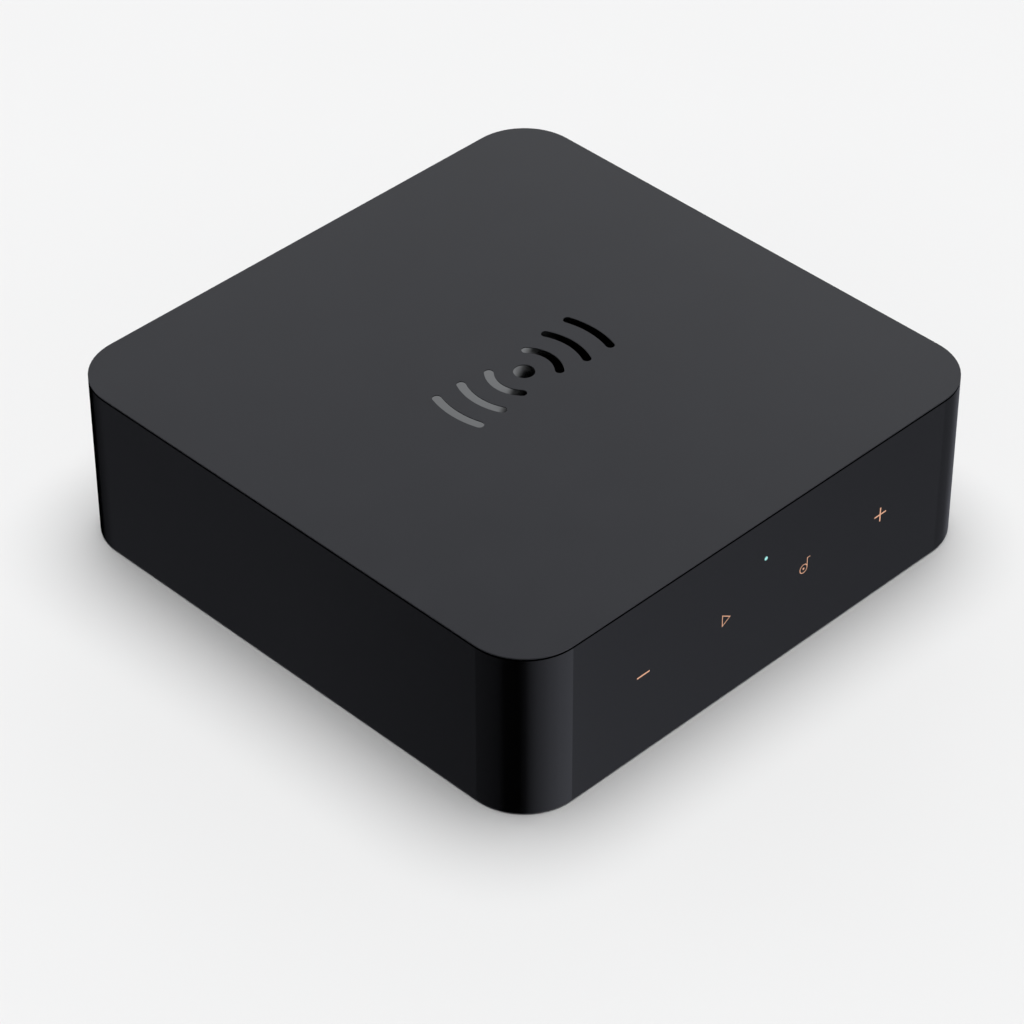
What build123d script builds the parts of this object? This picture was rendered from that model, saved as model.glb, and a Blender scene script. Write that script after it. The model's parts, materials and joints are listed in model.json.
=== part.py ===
from build123d import *
import math
import os

# A square network music streamer for the shelf: a lid, a wall ring and a base around one circuit board,
# with four touch symbols on the front wall and a recessed bay of sockets in the rear wall.
# Lengths are in millimetres and angles in degrees.
# X runs to the right of someone who faces the front, Y runs from front to rear, and Z is up.
# The origin is on the resting surface, under the middle of the case.

# Case
case_side = 140.0
case_height = 42.0
corner_radius = 13.7
wall = 2.4
foot_stand_off = 0.2
outer_edge_radius = 0.25
cut_overrun = 1.0
fit_gap = 0.15
screw_gap = 0.05
screw_tip_gap = 1.0
round_end_share = 0.98

# Lid
lid_plate = 2.0
lid_flange = 0.45
lid_edge_chamfer = 0.15
seam_gap = 0.32
rim_width = 1.2
lid_rib_height = 3.0
lid_rib_thickness = 1.2
lid_rib_pitch = 36.0
lid_rib_length = 94.0
hook_width = 7.0
hook_thickness = 1.4
hook_length = 5.0
hook_barb = 0.7
hook_barb_height = 1.3
hook_offset = 51.5
hook_sides = 3
catch_depth = 0.9
catch_height = 1.2

# Emblem on the lid: a dot between three pairs of arcs
emblem_recess = 0.1
emblem_thickness = 0.5
emblem_stroke = 2.1
emblem_dot_radius = 2.4
emblem_arc_radii = (7.6, 14.2, 20.8)
emblem_arc_half_angles = (42.0, 26.0, 18.0)

# Base
base_plate = 2.0
base_setback = 0.3
base_boss_radius = 3.5
base_boss_height = 7.6
base_boss_inset = 10.0
base_gusset = 1.6
base_head_sink = 0.15
vent_count = 9
vent_pitch = 6.0
vent_width = 2.2
vent_length = 22.0
vent_row_offset = 20.0
label_length = 44.0
label_width = 12.0
label_thickness = 0.15
label_corner = 1.5
label_recess = 0.2

# Rubber foot ring
foot_inset = 15.0
foot_band = 8.0
foot_groove = 1.0
foot_corner = 11.0
foot_edge_radius = 0.4

# Screws
screw_radius = 1.5
screw_head_radius = 2.75
screw_head_height = 0.95
screw_length = 7.0
screw_drive_depth = 0.75
screw_drive_width = 0.7
screw_drive_length = 2.9
small_screw_radius = 1.25
small_head_radius = 2.2
small_head_height = 1.4
small_screw_length = 6.0

# Front controls
symbol_drop = 20.45
symbol_depth = 0.4
symbol_bar = 0.38
symbol_line = 0.2
symbol_shift = 0.55
symbol_offsets = (12.1, 36.4)
minus_length = 3.7
play_width = 2.6
play_height = 3.2
note_head_radius = 1.2
note_dot_radius = 0.28
note_stem = 2.5
note_flag = 0.95
light_rise = 9.25
light_radius = 0.46
light_flange_radius = 1.4
light_flange = 0.6
light_hole_gap = 0.05

# Touch board behind the front wall
touch_pocket = 1.0
touch_width = 92.0
touch_below = 7.5
touch_above = 3.2
touch_thickness = 1.0
baffle_thickness = 0.8
baffle_window = 7.0
baffle_light_window = 3.2
electrode_width = 14.0
electrode_height = 12.0
electrode_window = 6.4
electrode_thickness = 0.1
led_width = 1.6
led_height = 0.8
led_depth = 0.5
rail_thickness = 1.4
rail_lip = 1.2
touch_chip_offset = 22.0

# Ribbon cable between the boards
ribbon_width = 8.0
ribbon_thickness = 0.3
ribbon_bend = 3.0
ribbon_floor_gap = 1.2
ribbon_socket_width = 11.0
ribbon_socket_depth = 3.4
ribbon_socket_height = 2.2
ribbon_insert = 1.6

# Sockets bay in the rear wall
bay_depth = 9.0
bay_half_width = 56.0
bay_low = 12.4
bay_high = 31.0
bay_corner = 3.0
tray_wall = 1.4
tray_plate = 2.0
clip_rib = 1.6
clip_rib_width = 6.0
clip_rib_offset = 30.0

# Main board
board_thickness = 1.6
board_top = 14.0
board_side_gap = 15.0
board_front_gap = 18.0
board_rear_gap = 0.3
board_post_radius = 3.0
board_hole_inset = 5.0
board_hole_front_inset = 6.0
board_hole_rear_inset = 20.7

# Phono sockets: places along the rear, seen with X
coax_place = -5.0
line_out_places = (-16.5, -27.7)
line_in_places = (-39.7, -50.9)
phono_rise = 7.0
phono_setback = 0.5
phono_sleeve_radius = 4.15
phono_sleeve_wall = 0.6
phono_sleeve_seat = 2.2
phono_seat_radius = 4.4
phono_nose_radius = 5.0
phono_nose_rise = 0.4
phono_colour_recess = 1.0
phono_contact_radius = 2.1
phono_pin_radius = 1.6
phono_contact_length = 9.0
phono_contact_floor = 0.8
phono_body_depth = 11.0
phono_body_margin = 5.2
phono_body_rise = 16.6
phono_screw_rise = 14.5

# Optical sockets
optical_out_place = 16.1
optical_in_place = 5.9
optical_wall = 0.8
optical_plug = 8.5
optical_plug_depth = 10.6
optical_floor_rise = 1.0
optical_ferrule_radius = 1.2
optical_ferrule_depth = 3.2
optical_chip_size = 5.0
optical_chip_depth = 2.0
shutter_thickness = 0.8
shutter_side_gap = 0.3
shutter_floor_gap = 0.3
shutter_setback = 0.9
shutter_knuckle_gap = 0.3
shutter_pivot_drop = 0.6
shutter_knuckle_radius = 0.55
shutter_pin_radius = 0.3
shutter_pin_gap = 0.05
shutter_pin_bite = 0.4
shutter_spring_notch = 2.4
spring_wire = 0.2
spring_turns = 4
spring_pitch = 0.42
spring_leg = 2.4

# Network socket
lan_place = 36.9
lan_width = 15.9
lan_tall = 13.4
lan_depth = 21.0
lan_shield = 0.25
lan_opening_width = 11.8
lan_opening_height = 6.9
lan_opening_rise = 2.6
lan_opening_depth = 13.0
lan_latch_width = 6.2
lan_latch_height = 1.7
lan_latch_slot_width = 3.6
lan_latch_slot_height = 1.0
lan_contact_pitch = 1.02
lan_contact_count = 8
lan_contact_width = 0.45
lan_contact_thickness = 0.35
lan_contact_length = 8.0
lan_contact_rise = 1.5
lan_contact_setback = 2.5
lan_lamp_width = 2.6
lan_lamp_height = 1.9
lan_lamp_depth = 1.2
lan_lamp_inset = 0.6

# Power socket
power_place = 50.5
power_rise = 2.6
power_width = 8.94
power_tall = 3.16
power_shell = 0.3
power_depth = 7.4
power_back = 1.2
power_tongue_width = 6.7
power_tongue_thickness = 0.7
power_tongue_length = 4.8
power_contact_count = 8
power_contact_pitch = 0.5
power_contact_width = 0.25
power_contact_length = 3.4
power_contact_thickness = 0.05
power_cut_gap = 0.35

# Trigger socket
trigger_place = 24.9
trigger_rise = 3.3
trigger_width = 6.2
trigger_tall = 6.0
trigger_depth = 12.0
trigger_nose_radius = 2.9
trigger_nose_length = 3.2
trigger_bore_radius = 1.8
trigger_bore_depth = 13.6

# Streaming module with its heat sink
module_x = 0.0
module_y = -8.0
module_width = 32.0
module_depth = 28.0
module_thickness = 0.9
shield_margin = 1.6
shield_height = 2.2
shield_sheet = 0.25
shield_front_strip = 4.4
pad_side = 16.0
pad_thickness = 0.8
sink_side = 24.0
sink_base = 1.8
sink_height = 8.0
sink_fins = 7
sink_fin_thickness = 1.1

# Aerials and their leads
aerial_length = 42.0
aerial_height = 9.0
aerial_thickness = 0.3
aerial_lid_gap = 3.0
aerial_feed = 2.4
aerial_feed_thickness = 0.6
lead_radius = 0.57
lead_bend_share = 0.45
lead_route_shares = (
    (0, 0, 0), (0.16, -0.1, 0.02), (0.34, 0.2, 0.1), (0.56, 0.62, 0), (0.77, 0.5, 0.1), (0.93, 0.62, 0.3),
    (1, 1, 0.62), (1, 1, 1),
)
aerial_plug_radius = 1.3
aerial_plug_height = 1.3
aerial_plug_offset = 11.0
aerial_feed_setback = 10.0

# Parts on the main board, whose places are shares of its half width and of its depth from the front
capacitor_radius = 3.15
capacitor_height = 7.6
capacitor_band = 0.6
inductor_side = 6.6
inductor_height = 3.2
inductor_corner = 1.0
chip_side = 7.0
chip_thickness = 1.0
amplifier_length = 4.9
amplifier_width = 3.9
amplifier_thickness = 1.4
regulator_length = 6.5
regulator_width = 3.5
regulator_thickness = 1.6
crystal_length = 3.2
crystal_width = 2.5
crystal_thickness = 0.8
transformer_length = 12.7
transformer_width = 7.4
transformer_height = 4.6
transformer_gap = 5.3
passive_length = 1.6
passive_width = 0.8
passive_height = 0.5
passive_columns = 6
passive_rows = 3
passive_pitch = 3.0
capacitor_shares = (
    (-0.87, 0.65), (-0.73, 0.65), (-0.58, 0.65), (-0.44, 0.65), (-0.29, 0.65), (0.91, 0.705), (0.76, 0.63),
    (0.91, 0.61),
)
inductor_shares = ((0.545, 0.614), (0.382, 0.614), (0.545, 0.524))
converter_shares = ((-0.4, 0.741), (-0.727, 0.741))
amplifier_shares = ((-0.255, 0.831), (-0.382, 0.831), (-0.545, 0.831), (-0.673, 0.831))
regulator_shares = ((0.727, 0.506), (0.873, 0.506))
crystal_shares = ((-0.564, 0.75), (-0.218, 0.741), (0.455, 0.723))
passive_shares = ((-0.873, 0.47), (0.436, 0.235))

# Planes and centres that follow from the sizes
half_side = case_side / 2
inner_half = half_side - wall
wall_low = foot_stand_off
rim_top = case_height - lid_flange - seam_gap
lid_seat = case_height - lid_plate
base_low = wall_low + base_setback
base_top = base_low + base_plate
head_pocket = base_setback + screw_head_height - base_head_sink
board_low = board_top - board_thickness
board_half_width = half_side - board_side_gap
board_front = board_front_gap - half_side
bay_face = half_side - bay_depth
bay_back = bay_face - tray_plate
board_rear = bay_back - board_rear_gap
boss_place = half_side - base_boss_inset
pocket_face = -half_side + wall - touch_pocket
touch_front = pocket_face + baffle_thickness + electrode_thickness
touch_back = touch_front + touch_thickness
symbol_height = case_height - symbol_drop
light_height = symbol_height + light_rise
touch_low = symbol_height - touch_below
touch_high = light_height + touch_above
ribbon_low = base_top + ribbon_floor_gap
aerial_low = lid_seat - aerial_lid_gap - aerial_height
phono_height = board_top + phono_rise
phono_end = half_side - phono_setback
phono_base = bay_back - phono_sleeve_seat
phono_nose_end = bay_face + phono_nose_rise
phono_insulator_end = phono_end - phono_colour_recess
phono_contact_end = phono_insulator_end - phono_colour_recess
optical_width = optical_plug + 2 * optical_wall
optical_low = board_top + optical_floor_rise
optical_roof = optical_low + optical_plug
optical_mouth = bay_face
optical_end = optical_mouth - optical_plug_depth
optical_chip_face = optical_end - optical_ferrule_depth
optical_rear_face = optical_chip_face - optical_chip_depth
optical_middle = optical_low + optical_plug / 2
shutter_axis_y = optical_mouth - shutter_setback - shutter_thickness / 2
shutter_axis_z = optical_roof + shutter_pivot_drop
shutter_width = optical_plug - 2 * shutter_side_gap
shutter_room = shutter_knuckle_radius + shutter_knuckle_gap
optical_pocket_top = shutter_axis_z + shutter_room
optical_top = optical_pocket_top + optical_wall
lan_floor = board_top + lan_opening_rise
power_middle = board_top + power_rise
trigger_middle = board_top + trigger_rise
module_top = board_top + module_thickness
shield_top = module_top + shield_height
sink_low = shield_top + pad_thickness
front_plane = Plane(origin=(0, -half_side, 0), x_dir=(1, 0, 0), z_dir=(0, -1, 0))


# Shapes that the pieces are made of

def span(middle, width):
    """The low and high ends of a width about its middle."""
    return middle - width / 2, middle + width / 2


def block(x, y, z):
    """A box between pairs of X, Y and Z limits."""
    lows = (min(x), min(y), min(z))
    sizes = (max(x) - min(x), max(y) - min(y), max(z) - min(z))
    return Pos(*lows) * Box(*sizes, align=(Align.MIN, Align.MIN, Align.MIN))


def rounded_slab(side_x, side_y, radius, z, x=0, y=0):
    """A flat plate with rounded corners, centred on x and y, between two heights."""
    outline = Pos(x, y, min(z)) * RectangleRounded(side_x, side_y, radius)
    return extrude(outline, amount=max(z) - min(z), dir=(0, 0, 1))


def case_slab(inset, z):
    """The outline of the case, drawn in by an inset, between two heights."""
    side = case_side - 2 * inset
    return rounded_slab(side, side, corner_radius - inset, z)


def post(x, y, z, radius):
    """An upright cylinder between two heights."""
    base = (Align.CENTER, Align.CENTER, Align.MIN)
    return Pos(x, y, min(z)) * Cylinder(radius, max(z) - min(z), align=base)


def rod_y(x, z, y, radius):
    """A cylinder along Y between two places."""
    base = (Align.CENTER, Align.CENTER, Align.MIN)
    return Pos(x, min(y), z) * Rot(-90, 0, 0) * Cylinder(radius, max(y) - min(y), align=base)


def rod_x(y, z, x, radius):
    """A cylinder along X between two places."""
    base = (Align.CENTER, Align.CENTER, Align.MIN)
    return Pos(min(x), y, z) * Rot(0, 90, 0) * Cylinder(radius, max(x) - min(x), align=base)


def rod(start, end, radius):
    """A cylinder from one point to another, with a ball at its far end."""
    way = Vector(end) - Vector(start)
    base = (Align.CENTER, Align.CENTER, Align.MIN)
    tube = Plane(origin=start, z_dir=way) * Cylinder(radius, way.length, align=base)
    return tube + Pos(*end) * Sphere(radius)


def group(solids):
    """Several separate solids as one node."""
    return Compound(children=[solid for item in solids for solid in item.solids()])


def corners():
    """The signs of the four corners."""
    return [(sx, sy) for sx in (-1, 1) for sy in (-1, 1)]


def board_holes():
    """Where the main board is screwed down."""
    front, rear = board_front + board_hole_front_inset, board_rear - board_hole_rear_inset
    return [(s * (board_half_width - board_hole_inset), y) for s in (-1, 1) for y in (front, rear)]


def hook_places():
    """Each snap hook's side, as quarter turns from the left one, and its place along that side."""
    return [(turn, s * hook_offset) for turn in range(hook_sides) for s in (-1, 1)]


def spots(shares):
    """Places on the main board from shares of its half width and of its depth from the front."""
    depth = board_rear - board_front
    return [(share_x * board_half_width, board_front + share_y * depth) for share_x, share_y in shares]


def on_board(x, y, length, width, height, low=None):
    """A block that stands on the main board, or at another height."""
    foot = board_top if low is None else low
    return block(span(x, length), span(y, width), (foot, foot + height))


# Emblem and symbols

def arc_stroke(radius, half_angle, side):
    """A round-ended arc about the emblem's middle, on its left or right."""
    ring = Circle(radius + emblem_stroke / 2) - Circle(radius - emblem_stroke / 2)
    reach = 2 * radius
    rise = reach * math.tan(math.radians(half_angle))
    wedge = make_face(Polyline((0, 0), (side * reach, rise), (side * reach, -rise), close=True))
    stroke = ring & wedge
    for sign in (-1, 1):
        x = side * radius * math.cos(math.radians(half_angle))
        y = sign * radius * math.sin(math.radians(half_angle))
        stroke += Pos(x, y) * Circle(emblem_stroke / 2)
    return stroke


def emblem_outline():
    """The dot and its arcs, as separate flat shapes."""
    shapes = [Circle(emblem_dot_radius)]
    for radius, half_angle in zip(emblem_arc_radii, emblem_arc_half_angles):
        shapes += [arc_stroke(radius, half_angle, side) for side in (-1, 1)]
    return shapes


def emblem(top, depth):
    """The emblem's shapes as solids that reach down from a height."""
    return [extrude(Pos(0, 0, top) * shape, amount=-depth, dir=(0, 0, 1)) for shape in emblem_outline()]


def minus_outline():
    return Rectangle(minus_length, symbol_bar)


def plus_outline():
    return Rectangle(minus_length, symbol_bar) + Rectangle(symbol_bar, minus_length)


def play_outline():
    """A triangle that points right, drawn as a line and centred on its centre of area."""
    left, half_height = -play_width / 3, play_height / 2
    corners = ((left, -half_height), (left, half_height), (left + play_width, 0))
    outer = make_face(Polyline(*corners, close=True))
    return outer - offset(outer, -symbol_line)


def note_outline():
    """A note with an open round head, a dot in it, a stem and a flag: a ring with its stem, then the dot."""
    head_y = note_head_radius - (note_head_radius + note_stem) / 2
    stem_x = note_head_radius - symbol_line / 2
    ring = Circle(note_head_radius) - Circle(note_head_radius - symbol_line)
    stem = Pos(stem_x, note_stem / 2) * Rectangle(symbol_line, note_stem)
    flag = Pos(stem_x - symbol_line / 2, note_stem) * Rectangle(
        note_flag, symbol_line, align=(Align.MIN, Align.MAX))
    stem -= Circle(note_head_radius - symbol_line)
    return [Pos(0, head_y) * (ring + stem + flag), Pos(0, head_y) * Circle(note_dot_radius)]


def symbols():
    """Each symbol's name, flat shapes and place along the front."""
    volume_down, play, preset, volume_up = light_places()
    return {
        "symbol_volume_down": ([minus_outline()], volume_down),
        "symbol_play": ([play_outline()], play),
        "symbol_preset": (note_outline(), preset),
        "symbol_volume_up": ([plus_outline()], volume_up),
    }


def symbol_solids(shapes, x):
    """A symbol's shapes as solids, sunk into the front face and flush with it."""
    placed = [front_plane * Pos(x, symbol_height) * shape for shape in shapes]
    return [extrude(shape, amount=symbol_depth, dir=(0, 1, 0)) for shape in placed]


# Casing

def wall_hook_catch(turn, place):
    """A ledge inside the wall that a hook's barb goes under."""
    low = lid_seat - hook_length + hook_barb_height + fit_gap
    ledge = block((-inner_half - wall / 2, -inner_half + catch_depth), span(place, hook_width + 2 * fit_gap),
                  (low, low + catch_height))
    return Rot(0, 0, 90 * turn) * ledge


def touch_rail(side):
    """A rail at one end of the touch board, with a lip behind the board and a stop under it."""
    edge = side * (touch_width / 2 + fit_gap)
    outer = edge + side * rail_thickness
    inner = edge - side * rail_lip
    back = touch_back + fit_gap
    root = -half_side + wall / 2
    height = (touch_low - fit_gap - rail_thickness, touch_high)
    upright = block((edge, outer), (root, back + rail_thickness), height)
    lip = block((inner, outer), (back, back + rail_thickness), height)
    stop_top = touch_low - fit_gap
    stop = block((inner, outer), (root, back + rail_thickness), (stop_top - rail_thickness, stop_top))
    return upright + lip + stop


def wall_shell():
    shell = case_slab(0, (wall_low, rim_top))
    shell = fillet(shell.edges().group_by(Axis.Z)[0], outer_edge_radius)
    shell -= case_slab(wall, (wall_low - cut_overrun, rim_top + cut_overrun))
    shell -= case_slab(rim_width, (lid_seat, rim_top + cut_overrun))
    shell -= case_slab(rim_width, (wall_low - cut_overrun, base_top))
    boss_top = base_top + base_boss_height
    corner_middle = half_side - corner_radius
    corner_reach = corner_middle + (corner_radius - wall / 2) * math.sqrt(0.5)
    for sx, sy in corners():
        run = math.hypot(corner_reach - boss_place, corner_reach - boss_place)
        middle = (corner_reach + boss_place) / 2
        gusset = Box(run, base_gusset, base_boss_height, align=(Align.CENTER, Align.CENTER, Align.MIN))
        shell += Pos(sx * middle, sy * middle, base_top) * Rot(0, 0, 45 * sx * sy) * gusset
        shell += post(sx * boss_place, sy * boss_place, (base_top, boss_top), base_boss_radius)
        shell -= post(sx * boss_place, sy * boss_place, (base_top - cut_overrun, boss_top - wall / 2),
                      screw_radius + screw_gap)
    shell -= block(span(0, touch_width + 2 * fit_gap), (pocket_face, -inner_half + cut_overrun),
                   (touch_low - fit_gap, touch_high + fit_gap))
    shell -= rod_y(symbol_shift, light_height, (-half_side - cut_overrun, -inner_half),
                   light_radius + light_hole_gap)
    for side in (-1, 1):
        shell += touch_rail(side)
    for shapes, x in symbols().values():
        for solid in symbol_solids(shapes, x):
            shell -= solid
    window_height = bay_high - bay_low
    window = Pos(0, half_side + cut_overrun, (bay_low + bay_high) / 2) * Rot(90, 0, 0) * RectangleRounded(
        2 * bay_half_width, window_height, bay_corner)
    shell -= extrude(window, amount=wall + 2 * cut_overrun, dir=(0, -1, 0))
    for turn, place in hook_places():
        shell += wall_hook_catch(turn, place)
    return shell


def lid_hook(turn, place):
    """A springy finger under the lid, with a barb at its foot that points outward."""
    outer = -inner_half + catch_depth + fit_gap
    foot = lid_seat - hook_length
    finger = block((outer, outer + hook_thickness), span(place, hook_width), (foot, lid_seat + fit_gap))
    barb = block((outer - hook_barb, outer + hook_thickness), span(place, hook_width),
                 (foot, foot + hook_barb_height))
    return Rot(0, 0, 90 * turn) * (finger + barb)


def top_panel():
    flange = case_slab(0, (case_height - lid_flange, case_height))
    flange = chamfer(flange.edges().group_by(Axis.Z)[0], lid_edge_chamfer)
    lid = flange + case_slab(rim_width + fit_gap, (lid_seat, case_height - lid_flange))
    for place in (-lid_rib_pitch, 0, lid_rib_pitch):
        rib_height = (lid_seat - lid_rib_height, lid_seat)
        lid += block(span(place, lid_rib_thickness), span(0, lid_rib_length), rib_height)
        lid += block(span(0, lid_rib_length), span(place, lid_rib_thickness), rib_height)
    for turn, place in hook_places():
        lid += lid_hook(turn, place)
    for pocket in emblem(case_height, emblem_thickness + emblem_recess):
        lid -= pocket
    return lid


def top_emblem():
    return group(emblem(case_height - emblem_recess, emblem_thickness))


def clip_rib_solid(side):
    """A rib that stands on the base and keeps the foot of the sockets tray against the wall."""
    y = bay_back - fit_gap
    rib = (y - clip_rib, y)
    return block(span(side * clip_rib_offset, clip_rib_width), rib, (base_top, board_low - fit_gap))


def base_cover():
    base = case_slab(rim_width + fit_gap, (base_low, base_top))
    for x, y in board_holes():
        base += post(x, y, (base_top, board_low), board_post_radius)
        base -= post(x, y, (board_low - small_screw_length, board_low + cut_overrun),
                     small_screw_radius + screw_gap)
    for side in (-1, 1):
        base += clip_rib_solid(side)
    for sx, sy in corners():
        x, y = sx * boss_place, sy * boss_place
        base -= post(x, y, (base_low - cut_overrun, base_top + cut_overrun), screw_radius + fit_gap)
        base -= post(x, y, (base_low - cut_overrun, base_low + head_pocket), screw_head_radius + fit_gap)
    base -= foot_band_solid((base_low - cut_overrun, base_low + foot_groove), fit_gap)
    for row in (-1, 1):
        for i in range(vent_count):
            x = (i - (vent_count - 1) / 2) * vent_pitch
            base -= rounded_slab(vent_width, vent_length, vent_width / 2 * round_end_share,
                                 (base_low - cut_overrun, base_top + cut_overrun), x, row * vent_row_offset)
    base -= rounded_slab(label_length + fit_gap, label_width + fit_gap, label_corner,
                         (base_low - cut_overrun, base_low + label_recess))
    return base


def rating_label():
    top = base_low + label_recess
    return rounded_slab(label_length, label_width, label_corner, (top - label_thickness, top))


def foot_band_solid(z, grow):
    """The foot's ring between two heights, grown on both its sides for a groove."""
    side = case_side - 2 * foot_inset
    ring = rounded_slab(side + 2 * grow, side + 2 * grow, foot_corner + grow, z)
    hole_side = side - 2 * foot_band - 2 * grow
    hole_corner = foot_corner - foot_band - grow
    through = (min(z) - cut_overrun, max(z) + cut_overrun)
    return ring - rounded_slab(hole_side, hole_side, hole_corner, through)


def foot_ring():
    ring = foot_band_solid((0, base_low + foot_groove), 0)
    return fillet(ring.edges().group_by(Axis.Z)[0], foot_edge_radius)


def screw(x, y, seat, sign, radius, length, head_radius, head_height):
    """A pan head screw whose head stands on a seat, above it for a sign of 1 and below it for -1."""
    shank = post(x, y, (seat, seat - sign * length), radius)
    head = post(x, y, (seat, seat + sign * head_height), head_radius)
    head = fillet(head.edges().group_by(Axis.Z)[-1 if sign > 0 else 0], head_height / 2)
    top = seat + sign * head_height
    depth = (top + sign * cut_overrun, top - sign * screw_drive_depth)
    cross = (screw_drive_length, screw_drive_width)
    for length_x, length_y in (cross, reversed(cross)):
        head -= block(span(x, length_x), span(y, length_y), depth)
    return shank + head


def base_screws():
    seat = base_low + head_pocket
    return group(screw(sx * boss_place, sy * boss_place, seat, -1, screw_radius, screw_length,
                       screw_head_radius, screw_head_height) for sx, sy in corners())


def board_screws():
    length = board_thickness + small_screw_length - screw_tip_gap
    return group(screw(x, y, board_top, 1, small_screw_radius, length, small_head_radius, small_head_height)
                 for x, y in board_holes())


# Touch board and lights

def light_places():
    """Places of the four symbol lights along the front."""
    near, far = symbol_offsets
    return tuple(symbol_shift + x for x in (-far, -near, near, far))


def light_baffle():
    """A black sheet behind the wall, with a window for each lamp."""
    y = (pocket_face, pocket_face + baffle_thickness)
    through = (min(y) - cut_overrun, max(y) + cut_overrun)
    baffle = block(span(0, touch_width), y, (touch_low, touch_high))
    for x in light_places():
        baffle -= block(span(x, baffle_window), through, span(symbol_height, baffle_window))
    return baffle - block(span(symbol_shift, baffle_light_window), through,
                          span(light_height, baffle_light_window))


def touch_board():
    return block(span(0, touch_width), (touch_front, touch_back), (touch_low, touch_high))


def touch_electrodes():
    """A copper frame around each symbol's lamp, on the front of the touch board."""
    frames = []
    layer = (touch_front - electrode_thickness, touch_front)
    through = (touch_front - cut_overrun, touch_front + cut_overrun)
    for x in light_places():
        plate = block(span(x, electrode_width), layer, span(symbol_height, electrode_height))
        window = block(span(x, electrode_window), through, span(symbol_height, electrode_window))
        frames.append(plate - window)
    return group(frames)


def touch_lights():
    """A small lamp behind each symbol, and a flat one behind the light pipe."""
    lamps = [(x, symbol_height, led_depth) for x in light_places()]
    lamps.append((symbol_shift, light_height, baffle_thickness + electrode_thickness - light_flange))
    return group(block(span(x, led_width), (touch_front - depth, touch_front), span(z, led_height))
                 for x, z, depth in lamps)


def status_light_pipe():
    """A clear rod through the wall, with a flange that lies in the wall's pocket."""
    pipe = rod_y(symbol_shift, light_height, (-half_side, pocket_face + light_flange), light_radius)
    flange = (pocket_face, pocket_face + light_flange)
    return pipe + rod_y(symbol_shift, light_height, flange, light_flange_radius)


def ribbon_sockets():
    """The ribbon's socket under the touch board and its socket on the main board."""
    upper_y = (touch_back, touch_back + ribbon_socket_height)
    upper = block(span(0, ribbon_socket_width), upper_y, (touch_low, touch_low + ribbon_socket_depth))
    lower = on_board(0, board_front + ribbon_socket_depth / 2, ribbon_socket_width, ribbon_socket_depth,
                     ribbon_socket_height)
    slot = span(0, ribbon_width + 2 * fit_gap)
    gap = ribbon_thickness + 2 * screw_gap
    upper -= block(slot, span(sum(upper_y) / 2, gap), (touch_low - cut_overrun, touch_low + ribbon_insert))
    lower -= block(slot, (board_front - cut_overrun, board_front + ribbon_insert),
                   span(board_top + ribbon_socket_height / 2, gap))
    return group([upper, lower])


def ribbon_cable():
    """A flat cable that leaves the touch board's socket downward and turns back up into the main board's."""
    y_start = touch_back + ribbon_socket_height / 2
    z_end = board_top + ribbon_socket_height / 2
    y_turn = (y_start + board_front) / 2
    path = FilletPolyline(
        (0, y_start, touch_low + ribbon_insert),
        (0, y_start, ribbon_low),
        (0, y_turn, ribbon_low),
        (0, y_turn, z_end),
        (0, board_front + ribbon_insert, z_end),
        radius=ribbon_bend,
    )
    start = Plane(origin=path @ 0, x_dir=(1, 0, 0), z_dir=path % 0)
    return sweep(start * Rectangle(ribbon_width, ribbon_thickness), path=path)


# Sockets tray in the rear wall

def tray_slab(grow, y):
    """The bay's outline grown all round, between two places along Y."""
    outline = Pos(0, max(y), (bay_low + bay_high) / 2) * Rot(90, 0, 0) * RectangleRounded(
        2 * (bay_half_width + grow), bay_high - bay_low + 2 * grow, bay_corner + grow)
    return extrude(outline, amount=max(y) - min(y), dir=(0, -1, 0))


def sockets_tray():
    lining_end = half_side - wall - fit_gap
    tray = tray_slab(tray_wall, (bay_back, lining_end)) - tray_slab(0, (bay_face, lining_end + cut_overrun))
    through = (bay_back - cut_overrun, bay_face + cut_overrun)
    for x in (coax_place, *line_out_places, *line_in_places):
        tray -= rod_y(x, phono_height, through, phono_nose_radius + fit_gap)
    for x in phono_screw_places():
        tray -= rod_y(x, board_top + phono_screw_rise, through, small_screw_radius + fit_gap)
    for x in (optical_out_place, optical_in_place):
        tray -= block(span(x, optical_width + 2 * fit_gap), through, (board_top, optical_top + fit_gap))
    lan_hole = (board_top, board_top + lan_tall + fit_gap)
    tray -= block(span(lan_place, lan_width + 2 * fit_gap), through, lan_hole)
    tray -= power_outline(power_cut_gap, through)
    tray -= rod_y(trigger_place, trigger_middle, through, trigger_nose_radius + fit_gap)
    return tray


def phono_groups():
    """Each moulded phono block's sockets, as places along X."""
    return ((coax_place,), line_out_places, line_in_places)


def phono_screw_places():
    return [sum(places) / len(places) for places in phono_groups()]


def phono_blocks():
    """A moulding for each group of sockets, with a round nose that carries each sleeve."""
    solids = []
    contact_floor = phono_contact_end - phono_contact_length - phono_contact_floor
    for places in phono_groups():
        x = (min(places) - phono_body_margin, max(places) + phono_body_margin)
        body = block(x, (bay_back - phono_body_depth, bay_back), (board_top, board_top + phono_body_rise))
        for place in places:
            body += rod_y(place, phono_height, (bay_back, phono_nose_end), phono_nose_radius)
            body -= rod_y(place, phono_height, (phono_base, phono_nose_end + cut_overrun), phono_seat_radius)
            body -= rod_y(place, phono_height, (contact_floor, bay_back), phono_contact_radius)
        middle = sum(places) / len(places)
        screw_hole = (bay_face - small_screw_length - screw_tip_gap, bay_back + cut_overrun)
        body -= rod_y(middle, board_top + phono_screw_rise, screw_hole, small_screw_radius + screw_gap)
        solids.append(body)
    return group(solids)


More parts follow.
